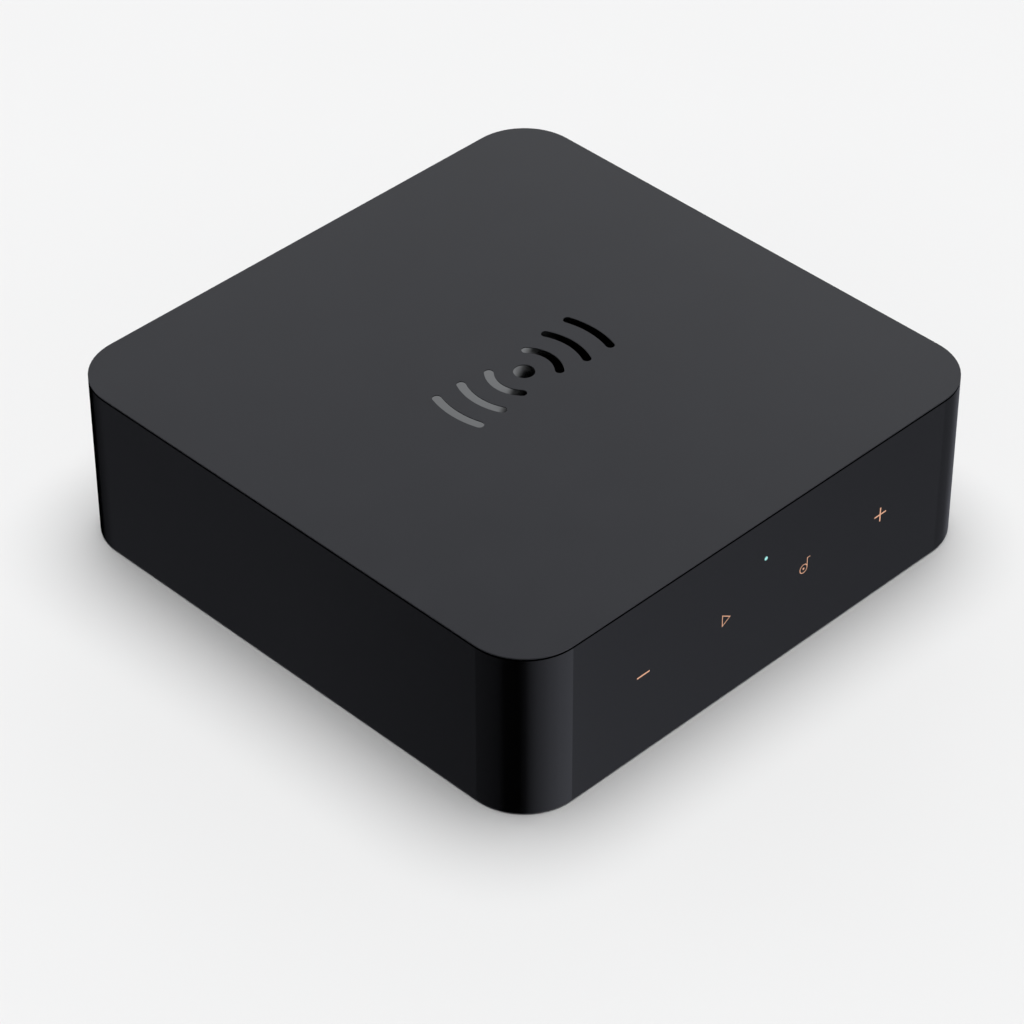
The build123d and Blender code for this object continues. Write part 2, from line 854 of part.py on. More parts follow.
def phono_sleeve(x):
    """The metal tube that a plug's shell grips, wider where it sits in its moulding."""
    tube = rod_y(x, phono_height, (phono_nose_end, phono_end), phono_sleeve_radius)
    tube = chamfer(tube.edges().group_by(Axis.Y)[-1], phono_sleeve_wall / 4)
    tube += rod_y(x, phono_height, (phono_base, phono_nose_end), phono_seat_radius)
    return tube - rod_y(x, phono_height, (phono_base - cut_overrun, phono_end + cut_overrun),
                        phono_sleeve_radius - phono_sleeve_wall)


def phono_sleeves():
    return group(phono_sleeve(x) for places in phono_groups() for x in places)


def phono_insulator(x):
    body = rod_y(x, phono_height, (phono_base, phono_insulator_end), phono_sleeve_radius - phono_sleeve_wall)
    body -= rod_y(x, phono_height, (phono_base - cut_overrun, phono_contact_end), phono_contact_radius)
    return body - rod_y(x, phono_height, (phono_base, phono_insulator_end + cut_overrun),
                        (phono_pin_radius + phono_contact_radius) / 2)


def phono_contact(x):
    low = phono_contact_end - phono_contact_length
    tube = rod_y(x, phono_height, (low - phono_contact_floor, phono_contact_end), phono_contact_radius)
    return tube - rod_y(x, phono_height, (low, phono_contact_end + cut_overrun), phono_pin_radius)


def phono_contacts():
    return group(phono_contact(x) for places in phono_groups() for x in places)


def side_screw(x, z, seat):
    """A pan head screw along Y whose head stands on the rear side of a seat."""
    upright = screw(0, 0, 0, 1, small_screw_radius, small_screw_length, small_head_radius, small_head_height)
    return Pos(x, seat, z) * Rot(-90, 0, 0) * upright


def phono_screws():
    return group(side_screw(x, board_top + phono_screw_rise, bay_face) for x in phono_screw_places())


# Optical sockets

def optical_body(x):
    """A box around the plug's room, with a pocket above it that takes the open flap."""
    body = block(span(x, optical_width), (optical_rear_face, optical_mouth), (board_top, optical_top))
    room = span(x, optical_plug)
    body -= block(room, (optical_end, optical_mouth + cut_overrun), (optical_low, optical_roof))
    body -= block(room, (optical_end, shutter_axis_y + shutter_room), (optical_roof, optical_pocket_top))
    body -= rod_y(x, optical_middle, (optical_chip_face - cut_overrun, optical_end + cut_overrun),
                  optical_ferrule_radius)
    body -= block(span(x, optical_chip_size), (optical_rear_face - cut_overrun, optical_chip_face),
                  span(optical_middle, optical_chip_size))
    return body - optical_pin(x)


def optical_pin(x):
    """The hinge pin, which ends in both side walls."""
    reach = span(x, optical_plug + 2 * shutter_pin_bite)
    return rod_x(shutter_axis_y, shutter_axis_z, reach, shutter_pin_radius)


def optical_shutter(x):
    """A flap that hangs from its pin and swings inward when a plug pushes it."""
    y = span(shutter_axis_y, shutter_thickness)
    low, high = span(x, shutter_width)
    notch = high - shutter_spring_notch
    spring_low = shutter_axis_z - shutter_thickness / 2 - spring_wire - fit_gap
    flap = block((low, high), y, (optical_low + shutter_floor_gap, spring_low))
    flap += block((low, notch), y, (spring_low, shutter_axis_z))
    flap += rod_x(shutter_axis_y, shutter_axis_z, (low, notch), shutter_knuckle_radius)
    return flap - rod_x(shutter_axis_y, shutter_axis_z, span(x, optical_plug),
                        shutter_pin_radius + shutter_pin_gap)


def optical_pins():
    return group(optical_pin(x) for x in (optical_out_place, optical_in_place))


def optical_spring(x):
    """A coil around the pin, with one leg on the flap and one that bends inward under the roof."""
    coil_radius = (shutter_thickness + spring_wire) / 2
    wire = spring_wire / 2
    start = x + shutter_width / 2 - shutter_spring_notch + spring_wire
    line = Helix(pitch=spring_pitch, height=spring_pitch * spring_turns, radius=coil_radius, lefthand=True)
    coil = sweep(Plane(origin=line @ 0, z_dir=line % 0) * Circle(wire), path=line, is_frenet=True)
    coil = Rot(-90, 0, 0) * Rot(0, 90, 0) * coil
    end = spring_pitch * spring_turns
    roof = shutter_room - wire - screw_gap
    coil += rod((0, -coil_radius, 0), (0, -coil_radius, -spring_leg), wire)
    coil += rod((end, -coil_radius, 0), (end, -coil_radius, roof), wire)
    coil += rod((end, -coil_radius, roof), (end, -coil_radius - roof, roof), wire)
    return Pos(start, shutter_axis_y, shutter_axis_z) * coil


def optical_chips():
    """The light sender and the light receiver, each in the rear of its socket."""
    y = (optical_rear_face, optical_chip_face)
    z = span(optical_middle, optical_chip_size)
    return group(block(span(x, optical_chip_size), y, z) for x in (optical_out_place, optical_in_place))


# Network socket

def lan_shield_solid():
    x = span(lan_place, lan_width)
    y = (bay_face - lan_depth, bay_face)
    shield = block(x, y, (board_top, board_top + lan_tall))
    inside_x = span(lan_place, lan_width - 2 * lan_shield)
    return shield - block(inside_x, (min(y) + lan_shield, bay_face + cut_overrun),
                          (board_top - cut_overrun, board_top + lan_tall - lan_shield))


def lan_opening(y):
    """The plug's way in: the main opening with the latch's slot above it."""
    top = lan_floor + lan_opening_height
    opening = block(span(lan_place, lan_opening_width), y, (lan_floor, top))
    latch_top = top + lan_latch_height
    opening += block(span(lan_place, lan_latch_width), y, (lan_floor, latch_top))
    return opening + block(span(lan_place, lan_latch_slot_width), y, (top, latch_top + lan_latch_slot_height))


def lan_lamp(side):
    """A lamp window in an upper corner of the socket's face."""
    edge = lan_place + side * (lan_width / 2 - lan_shield - lan_lamp_inset)
    top = board_top + lan_tall - lan_shield - lan_lamp_inset
    return block((edge, edge - side * lan_lamp_width), (bay_face - lan_lamp_depth, bay_face),
                 (top - lan_lamp_height, top))


def lan_body():
    x = span(lan_place, lan_width - 2 * lan_shield)
    y = (bay_face - lan_depth + lan_shield, bay_face)
    body = block(x, y, (board_top, board_top + lan_tall - lan_shield))
    body -= lan_opening((bay_face - lan_opening_depth, bay_face + cut_overrun))
    for side in (-1, 1):
        body -= lan_lamp(side)
    return body


def lan_contacts():
    """Springy wires that slope up from the floor of the opening."""
    wires = []
    front = bay_face - lan_contact_setback
    for i in range(lan_contact_count):
        x = span(lan_place + (i - (lan_contact_count - 1) / 2) * lan_contact_pitch, lan_contact_width)
        outline = make_face(Polyline(
            (min(x), front, lan_floor), (min(x), front, lan_floor + lan_contact_thickness),
            (min(x), front - lan_contact_length, lan_floor + lan_contact_rise + lan_contact_thickness),
            (min(x), front - lan_contact_length, lan_floor + lan_contact_rise),
            (min(x), front - lan_contact_thickness, lan_floor), close=True))
        wires.append(extrude(outline, amount=lan_contact_width, dir=(1, 0, 0)))
    return group(wires)


def lan_lamps():
    return group([lan_lamp(-1), lan_lamp(1)])


# Power socket

def power_outline(grow, y):
    """The power socket's rounded outline, grown all round, between two places along Y."""
    height = power_tall + 2 * grow
    outline = Pos(power_place, max(y), power_middle) * Rot(90, 0, 0) * RectangleRounded(
        power_width + 2 * grow, height, height / 2 * round_end_share)
    return extrude(outline, amount=max(y) - min(y), dir=(0, -1, 0))


def power_shell_solid():
    y = (bay_face - power_depth, bay_face)
    return power_outline(0, y) - power_outline(-power_shell, (bay_face - power_depth + power_back,
                                                             bay_face + cut_overrun))


def power_insulator():
    """The tongue inside the shell and the plastic foot that lifts the shell off the board."""
    root = bay_face - power_depth + power_back
    tongue = block(span(power_place, power_tongue_width), (root, root + power_tongue_length),
                   span(power_middle, power_tongue_thickness))
    y = (bay_face - power_depth, bay_back - fit_gap)
    foot = block(span(power_place, power_width), y, (board_top, power_middle))
    foot -= power_outline(0, (min(y) - cut_overrun, max(y) + cut_overrun))
    return group([tongue, foot])


def power_contacts():
    """Gilt strips on both faces of the tongue."""
    root = bay_face - power_depth + power_back
    strips = []
    for side in (-1, 1):
        face = power_middle + side * power_tongue_thickness / 2
        for i in range(power_contact_count):
            x = power_place + (i - (power_contact_count - 1) / 2) * power_contact_pitch
            strips.append(block(span(x, power_contact_width), (root, root + power_contact_length),
                                (face, face + side * power_contact_thickness)))
    return group(strips)


# Trigger socket

def trigger_socket():
    body = block(span(trigger_place, trigger_width), (bay_back - trigger_depth, bay_back),
                 (board_top, board_top + trigger_tall))
    nose_end = bay_back + trigger_nose_length
    body += rod_y(trigger_place, trigger_middle, (bay_back, nose_end), trigger_nose_radius)
    bore = (nose_end - trigger_bore_depth, nose_end + cut_overrun)
    return body - rod_y(trigger_place, trigger_middle, bore, trigger_bore_radius)


# Main board and what stands on it

def main_board():
    board = block(span(0, 2 * board_half_width), (board_front, board_rear), (board_low, board_top))
    for x, y in board_holes():
        board -= post(x, y, (board_low - cut_overrun, board_top + cut_overrun), small_screw_radius + fit_gap)
    return board


def module_board():
    return on_board(module_x, module_y, module_width, module_depth, module_thickness)


def shield_can():
    y_middle = module_y + shield_front_strip / 2
    width, depth = module_width - 2 * shield_margin, module_depth - 2 * shield_margin - shield_front_strip
    can = on_board(module_x, y_middle, width, depth, shield_height, module_top)
    return can - on_board(module_x, y_middle, width - 2 * shield_sheet, depth - 2 * shield_sheet,
                          shield_height - shield_sheet, module_top)


def thermal_pad():
    y_middle = module_y + shield_front_strip / 2
    return on_board(module_x, y_middle, pad_side, pad_side, pad_thickness, shield_top)


def heat_sink():
    y_middle = module_y + shield_front_strip / 2
    sink = on_board(module_x, y_middle, sink_side, sink_side, sink_base, sink_low)
    pitch = (sink_side - sink_fin_thickness) / (sink_fins - 1)
    for i in range(sink_fins):
        x = module_x - sink_side / 2 + sink_fin_thickness / 2 + i * pitch
        sink += on_board(x, y_middle, sink_fin_thickness, sink_side, sink_height, sink_low)
    return sink


def aerial(side):
    """A thin aerial stuck to a side wall, with a solder pad for its lead."""
    face = side * inner_half
    inner = face - side * aerial_thickness
    strip = block((face, inner), span(0, aerial_length), (aerial_low, aerial_low + aerial_height))
    feed = (inner, inner - side * aerial_feed_thickness)
    feed_z = (aerial_low, aerial_low + aerial_feed)
    return strip + block(feed, span(-aerial_feed_setback, aerial_feed), feed_z)


def aerial_plug_spot(side):
    """Where an aerial's plug stands on the module."""
    return module_x + side * aerial_plug_offset, module_y - module_depth / 2 + shield_front_strip / 2


def aerial_plugs():
    z = (module_top, module_top + aerial_plug_height)
    return group(post(*aerial_plug_spot(side), z, aerial_plug_radius) for side in (-1, 1))


def bend_radii(points):
    """For each corner of a route, the largest bend that its shorter run allows."""
    radii = []
    for before, here, after in zip(points, points[1:], points[2:]):
        to, away = Vector(here) - Vector(before), Vector(after) - Vector(here)
        turn = math.radians(to.get_angle(away))
        radii.append(lead_bend_share * min(to.length, away.length) / math.tan(turn / 2))
    return radii


def aerial_lead(side):
    """A thin coaxial lead from the module over the board and up the side wall."""
    x, y, z = (*aerial_plug_spot(side), module_top + aerial_plug_height - lead_radius)
    x += side * aerial_plug_radius
    run = side * (inner_half - aerial_thickness - aerial_feed_thickness / 2) - x
    sway = -aerial_feed_setback - y
    rise = aerial_low - z
    points = [(x + run * a, y + sway * b, z + rise * c) for a, b, c in lead_route_shares]
    path = FilletPolyline(*points, radius=bend_radii(points))
    section = Plane(origin=path @ 0, z_dir=path % 0) * Circle(lead_radius)
    return sweep(section, path=path)


def capacitors():
    """Upright cans with a rounded top edge."""
    solids = []
    for x, y in spots(capacitor_shares):
        can = post(x, y, (board_top, board_top + capacitor_height), capacitor_radius)
        solids.append(fillet(can.edges().group_by(Axis.Z)[-1], capacitor_band))
    return group(solids)


def inductors():
    """Square coils with cut corners."""
    solids = []
    for x, y in spots(inductor_shares):
        coil = on_board(x, y, inductor_side, inductor_side, inductor_height)
        solids.append(chamfer(coil.edges().filter_by(Axis.Z), inductor_corner))
    return group(solids)


def main_chips():
    """One chip that turns numbers into sound, one that does the reverse, and the touch controller."""
    touch_chip = block(span(touch_chip_offset, chip_side), (touch_back, touch_back + chip_thickness),
                       span(symbol_height, chip_side))
    return group([touch_chip] + [on_board(x, y, chip_side, chip_side, chip_thickness)
                                 for x, y in spots(converter_shares)])


def amplifier_chips():
    return group(on_board(x, y, amplifier_length, amplifier_width, amplifier_thickness)
                 for x, y in spots(amplifier_shares))


def regulators():
    return group(on_board(x, y, regulator_length, regulator_width, regulator_thickness)
                 for x, y in spots(regulator_shares))


def crystals():
    return group(on_board(x, y, crystal_length, crystal_width, crystal_thickness)
                 for x, y in spots(crystal_shares))


def lan_transformer():
    y = bay_face - lan_depth - transformer_gap - transformer_width / 2
    return on_board(lan_place, y, transformer_length, transformer_width, transformer_height)


def passives():
    """Rows of small resistors and capacitors."""
    places = [(x + column * passive_pitch, y + row * passive_pitch) for x, y in spots(passive_shares)
              for column in range(passive_columns) for row in range(passive_rows)]
    return group(on_board(x, y, passive_width, passive_length, passive_height) for x, y in places)


def parts():
    """Every node's name and its shape."""
    line_out_red, line_out_white = line_out_places
    line_in_red, line_in_white = line_in_places
    nodes = {
        "top_panel": top_panel(),
        "top_emblem": top_emblem(),
        "wall_shell": wall_shell(),
        "base_cover": base_cover(),
        "foot_ring": foot_ring(),
        "rating_label": rating_label(),
        "base_screws": base_screws(),
        "board_screws": board_screws(),
        "light_baffle": light_baffle(),
        "touch_board": touch_board(),
        "touch_electrodes": touch_electrodes(),
        "touch_lights": touch_lights(),
        "status_light_pipe": status_light_pipe(),
        "ribbon_cable": ribbon_cable(),
        "ribbon_sockets": ribbon_sockets(),
        "sockets_tray": sockets_tray(),
        "phono_blocks": phono_blocks(),
        "phono_sleeves": phono_sleeves(),
        "phono_inserts_red": group([phono_insulator(line_out_red), phono_insulator(line_in_red)]),
        "phono_inserts_white": group([phono_insulator(line_out_white), phono_insulator(line_in_white)]),
        "phono_insert_orange": phono_insulator(coax_place),
        "phono_contacts": phono_contacts(),
        "phono_screws": phono_screws(),
        "optical_out_body": optical_body(optical_out_place),
        "optical_in_body": optical_body(optical_in_place),
        "optical_out_shutter": optical_shutter(optical_out_place),
        "optical_in_shutter": optical_shutter(optical_in_place),
        "optical_pins": optical_pins(),
        "optical_out_spring": optical_spring(optical_out_place),
        "optical_in_spring": optical_spring(optical_in_place),
        "optical_chips": optical_chips(),
        "lan_shield": lan_shield_solid(),
        "lan_body": lan_body(),
        "lan_contacts": lan_contacts(),
        "lan_lamps": lan_lamps(),
        "power_shell": power_shell_solid(),
        "power_insulator": power_insulator(),
        "power_contacts": power_contacts(),
        "trigger_socket": trigger_socket(),
        "main_board": main_board(),
        "module_board": module_board(),
        "shield_can": shield_can(),
        "thermal_pad": thermal_pad(),
        "heat_sink": heat_sink(),
        "aerials": group([aerial(-1), aerial(1)]),
        "aerial_plugs": aerial_plugs(),
        "aerial_leads": group([aerial_lead(-1), aerial_lead(1)]),
        "capacitors": capacitors(),
        "inductors": inductors(),
        "main_chips": main_chips(),
        "amplifier_chips": amplifier_chips(),
        "regulators": regulators(),
        "crystals": crystals(),
        "lan_transformer": lan_transformer(),
        "passives": passives(),
    }
    for name, (shapes, x) in symbols().items():
        nodes[name] = group(symbol_solids(shapes, x))
    return nodes


os.makedirs("parts", exist_ok=True)
for node, shape in parts().items():
    export_step(shape, f"parts/{node}.step")
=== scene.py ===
import json
import math

import bpy
from mathutils import Matrix, Vector


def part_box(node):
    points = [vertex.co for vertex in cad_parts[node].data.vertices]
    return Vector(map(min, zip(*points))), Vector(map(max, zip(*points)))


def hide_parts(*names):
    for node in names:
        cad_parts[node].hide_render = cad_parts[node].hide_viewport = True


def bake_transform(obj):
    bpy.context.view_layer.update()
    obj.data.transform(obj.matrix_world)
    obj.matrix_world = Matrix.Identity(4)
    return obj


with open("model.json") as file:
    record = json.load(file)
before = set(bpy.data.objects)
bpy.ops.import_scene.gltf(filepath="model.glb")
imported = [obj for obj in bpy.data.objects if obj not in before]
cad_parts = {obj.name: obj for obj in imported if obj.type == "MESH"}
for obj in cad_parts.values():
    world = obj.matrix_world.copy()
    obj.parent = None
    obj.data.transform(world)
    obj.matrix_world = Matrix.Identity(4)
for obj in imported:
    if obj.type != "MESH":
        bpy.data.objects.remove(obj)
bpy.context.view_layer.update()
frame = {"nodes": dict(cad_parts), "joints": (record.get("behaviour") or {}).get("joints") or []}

MM = 0.001

# Camera, as fitted to the photograph: degrees and metres, with lens and sensor in millimetres
CAMERA_AZIMUTH = -44.784
CAMERA_ELEVATION = 39.101
CAMERA_ROLL = -0.127
CAMERA_TARGET = Vector((0.0008610, 0.0046800, 0.00005))
CAMERA_DISTANCE = 0.897191
CAMERA_LENS = 142.68
CAMERA_SENSOR = 36.0
CAMERA_NEAR = 0.01
CAMERA_FAR = 20.0

# Fine detail of the finishes: scales are per metre, edges are shares of a patch or pitch
GRAIN_DEPTH = 0.02 * MM
RUN_DEPTH = 0.03 * MM
RUN_PATCH_SCALE = 210
RUNS_PER_PATCH = 8.0
RUN_EDGE = (0.20, 0.28)
VIA_SCALE = 420
VIA_EDGE = (0.15, 0.11)
TIN_COLOUR = (0.62, 0.60, 0.54)
CONDUCTOR_PITCH = 0.5 * MM
CONDUCTOR_EDGE = (0.18, 0.24)

# Shutter springs
SPRING_WIRE = 0.2 * MM
SPRING_TURNS = 4
SPRING_TURN_STEPS = 28
SPRING_CORNER = 0.2 * MM
SPRING_CORNER_STEPS = 6
WIRE_SIDES = 10
WIRE_END_RINGS = 4

# Floor and light: metres, degrees and linear colours
FLOOR_SIZE = 6.0
FLOOR_COLOUR = (0.80, 0.80, 0.80)
BACKDROP_COLOUR = (0.80, 0.80, 0.80)
OVERHEAD_STRENGTH = 3.05
OVERHEAD_ANGLE = 54.0
OVERHEAD_TILT = (-2.5, 7.0)

# Room: the light of its upper half, its lower half and the band at the horizon, by azimuth
HIGH_ROOM_TINT = (0.99, 1.0, 1.02)
HIGH_ROOM_LEVELS = (
    (-180, 0.15), (-90, 0.15), (-30, 0.20), (10, 0.40), (28, 0.44), (36, 0.77), (42, 0.75),
    (45, 0.40), (47.5, 0.40), (50, 0.71), (56, 0.38), (80, 0.40), (120, 0.20), (180, 0.15))
LOW_ROOM_TINT = (0.97, 1.0, 1.15)
LOW_ROOM_LEVELS = (
    (-180, 0.05), (-168, 0.005), (-144, 0.0), (-133, 0.05), (-124, 0.18), (-112, 0.33), (-90, 0.52),
    (-72, 0.60), (-50, 0.57), (-46, 0.45), (-44.6, 0.32), (-39, 0.235), (-30, 0.16), (-12, 0.13),
    (12, 0.18), (36, 0.12), (50, 0.0), (86, 0.0), (112, 0.06), (124, 0.12), (131, 0.12),
    (137, 0.07), (165, 0.065), (180, 0.05))
HORIZON_TINT = (0.98, 1.0, 1.06)
HORIZON_LEVELS = (
    (-180, 0.34), (-150, 0.22), (-132, 0.40), (-112, 0.74), (-88, 0.84), (-68, 0.70), (-45, 0.46),
    (-20, 0.30), (0, 0.26), (20, 0.40), (42, 0.66), (62, 0.74), (82, 0.58), (105, 0.34),
    (125, 0.30), (140, 0.44), (155, 0.52), (168, 0.46), (180, 0.34))

# Heights in the room, as the upward part of a direction: the upper half's gain and where halves meet
HIGH_ROOM_GAIN = (
    (0.0, 0.5), (0.10, 0.8), (0.26, 2.2), (0.40, 2.0), (0.50, 1.32), (0.553, 1.0), (0.60, 0.74),
    (0.656, 0.48), (0.70, 0.34), (0.766, 0.18), (0.866, 0.08), (0.95, 0.4))
HORIZON_START, HORIZON_FULL = -0.58, -0.36
HALVES_MEET = 0.06

# A dark gap in the upper half behind the object: its edges in degrees, its lean and its upper end
GAP_LEFT = 24.3
GAP_LEFT_SOFTNESS = 0.08
GAP_LEAN = 0.56
GAP_RIGHT_START, GAP_RIGHT_FULL = 42.5, 40.5
GAP_TOP_START, GAP_TOP_FULL = 0.68, 0.78


# Node helpers

def add_node(tree, kind, **settings):
    node = tree.nodes.new(kind)
    for name, value in settings.items():
        setattr(node, name, value)
    return node


def math_node(tree, operation, first, second=None):
    """A Math node whose inputs are sockets or numbers."""
    node = add_node(tree, "ShaderNodeMath", operation=operation)
    for index, value in enumerate((first, second)):
        if value is None:
            continue
        if hasattr(value, "is_output"):
            tree.links.new(value, node.inputs[index])
        else:
            node.inputs[index].default_value = value
    return node.outputs[0]


def ramp_node(tree, factor, stops):
    """A straight colour ramp between (position, colour) stops."""
    node = add_node(tree, "ShaderNodeValToRGB")
    ramp = node.color_ramp
    while len(ramp.elements) < len(stops):
        ramp.elements.new(1.0)
    for element, (position, colour) in zip(ramp.elements, stops):
        element.position = position
        element.color = (*colour, 1.0)
    tree.links.new(factor, node.inputs[0])
    return node.outputs[0]


def noise(tree, scale, detail=3.0, roughness=0.55, stretch=(1, 1, 1)):
    """Noise over the object's own coordinates, whose unit is the metre."""
    place = add_node(tree, "ShaderNodeTexCoord")
    mapping = add_node(tree, "ShaderNodeMapping")
    mapping.inputs["Scale"].default_value = stretch
    tree.links.new(place.outputs["Object"], mapping.inputs["Vector"])
    node = add_node(tree, "ShaderNodeTexNoise")
    node.inputs["Scale"].default_value = scale
    node.inputs["Detail"].default_value = detail
    node.inputs["Roughness"].default_value = roughness
    tree.links.new(mapping.outputs[0], node.inputs["Vector"])
    return node.outputs["Fac"]


def spread(tree, value, low, high):
    """A factor of 0 to 1 mapped to a range, with the noise's middle half stretched over it."""
    node = add_node(tree, "ShaderNodeMapRange", clamp=True)
    node.inputs["From Min"].default_value = 0.3
    node.inputs["From Max"].default_value = 0.7
    node.inputs["To Min"].default_value = low
    node.inputs["To Max"].default_value = high
    tree.links.new(value, node.inputs["Value"])
    return node.outputs[0]


def step(tree, value, low, high):
    """A smooth step from 0 at low to 1 at high."""
    node = add_node(tree, "ShaderNodeMapRange", clamp=True, interpolation_type="SMOOTHSTEP")
    node.inputs["From Min"].default_value = low
    node.inputs["From Max"].default_value = high
    tree.links.new(value, node.inputs["Value"])
    return node.outputs[0]


def mix_node(tree, factor, first, second):
    """A blend of two colours, each a socket or an RGB triple."""
    node = add_node(tree, "ShaderNodeMix", data_type="RGBA")
    tree.links.new(factor, node.inputs[0])
    for index, value in ((6, first), (7, second)):
        if hasattr(value, "is_output"):
            tree.links.new(value, node.inputs[index])
        else:
            node.inputs[index].default_value = (*value, 1.0)
    return node.outputs[2]


def cells(tree, scale, distance="EUCLIDEAN"):
    """Distance to the nearest of scattered points, in the object's own coordinates."""
    place = add_node(tree, "ShaderNodeTexCoord")
    node = add_node(tree, "ShaderNodeTexVoronoi", distance=distance)
    node.inputs["Scale"].default_value = scale
    tree.links.new(place.outputs["Object"], node.inputs["Vector"])
    return node.outputs["Distance"]


# Finishes

def relief(material, height, strength, depth):
    """A bump of a height socket on the material's surface."""
    tree = material.node_tree
    bump = add_node(tree, "ShaderNodeBump")
    bump.inputs["Strength"].default_value = strength
    bump.inputs["Distance"].default_value = depth
    tree.links.new(height, bump.inputs["Height"])
    tree.links.new(bump.outputs[0], tree.nodes["Principled BSDF"].inputs["Normal"])


def finish(name, colour, roughness, metallic=0.0, vary=0.06, vary_scale=90.0, rough_vary=0.04,
           rough_scale=160.0, grain=0.0, grain_scale=4000.0, stretch=(1, 1, 1), **sockets):
    """A material with varied colour and roughness and a fine bump, all in the object's own coordinates."""
    material = bpy.data.materials.new(name)
    material.use_nodes = True
    tree = material.node_tree
    shader = tree.nodes["Principled BSDF"]
    darker = tuple(c * (1 - vary) for c in colour)
    lighter = tuple(min(1.0, c * (1 + vary)) for c in colour)
    tone = spread(tree, noise(tree, vary_scale, stretch=stretch), 0.0, 1.0)
    tree.links.new(ramp_node(tree, tone, ((0.0, darker), (1.0, lighter))), shader.inputs["Base Color"])
    smear = noise(tree, rough_scale, detail=4.0, stretch=stretch)
    rough = spread(tree, smear, max(0.0, roughness - rough_vary), min(1.0, roughness + rough_vary))
    tree.links.new(rough, shader.inputs["Roughness"])
    if grain:
        relief(material, noise(tree, grain_scale, detail=2.0, stretch=stretch), grain, GRAIN_DEPTH)
    shader.inputs["Metallic"].default_value = metallic
    for socket, value in sockets.items():
        shader.inputs[socket.replace("_", " ")].default_value = value
    return material


def with_glow(material, colour, strength):
    """The material's own light."""
    shader = material.node_tree.nodes["Principled BSDF"]
    shader.inputs["Emission Color"].default_value = (*colour, 1.0)
    shader.inputs["Emission Strength"].default_value = strength
    return material


def circuit_finish(name, mask, over_copper):
    """Solder mask that is lighter over the copper runs, with tinned vias and a low relief."""
    material = finish(name, mask, 0.34, vary=0.12, vary_scale=260, rough_vary=0.06)
    tree = material.node_tree
    shader = tree.nodes["Principled BSDF"]
    rings = math_node(tree, "MULTIPLY", cells(tree, RUN_PATCH_SCALE, "CHEBYCHEV"), RUNS_PER_PATCH)
    runs = step(tree, math_node(tree, "PINGPONG", rings, 0.5), *RUN_EDGE)
    vias = step(tree, cells(tree, VIA_SCALE), *VIA_EDGE)
    masked = mix_node(tree, runs, shader.inputs["Base Color"].links[0].from_socket, over_copper)
    tree.links.new(mix_node(tree, vias, masked, TIN_COLOUR), shader.inputs["Base Color"])
    tree.links.new(vias, shader.inputs["Metallic"])
    relief(material, math_node(tree, "ADD", runs, vias), 0.5, RUN_DEPTH)
    return material


def ribbon_finish(name, film, conductor):
    """Clear film over conductors that lie side by side along X."""
    material = finish(name, film, 0.32, vary=0.05, vary_scale=300)
    tree = material.node_tree
    shader = tree.nodes["Principled BSDF"]
    place = add_node(tree, "ShaderNodeTexCoord")
    parts = add_node(tree, "ShaderNodeSeparateXYZ")
    tree.links.new(place.outputs["Object"], parts.inputs[0])
    across = math_node(tree, "PINGPONG", math_node(tree, "DIVIDE", parts.outputs["X"], CONDUCTOR_PITCH), 0.5)
    stripes = step(tree, across, *CONDUCTOR_EDGE)
    striped = mix_node(tree, stripes, shader.inputs["Base Color"].links[0].from_socket, conductor)
    tree.links.new(striped, shader.inputs["Base Color"])
    relief(material, stripes, 0.4, RUN_DEPTH)
    return material


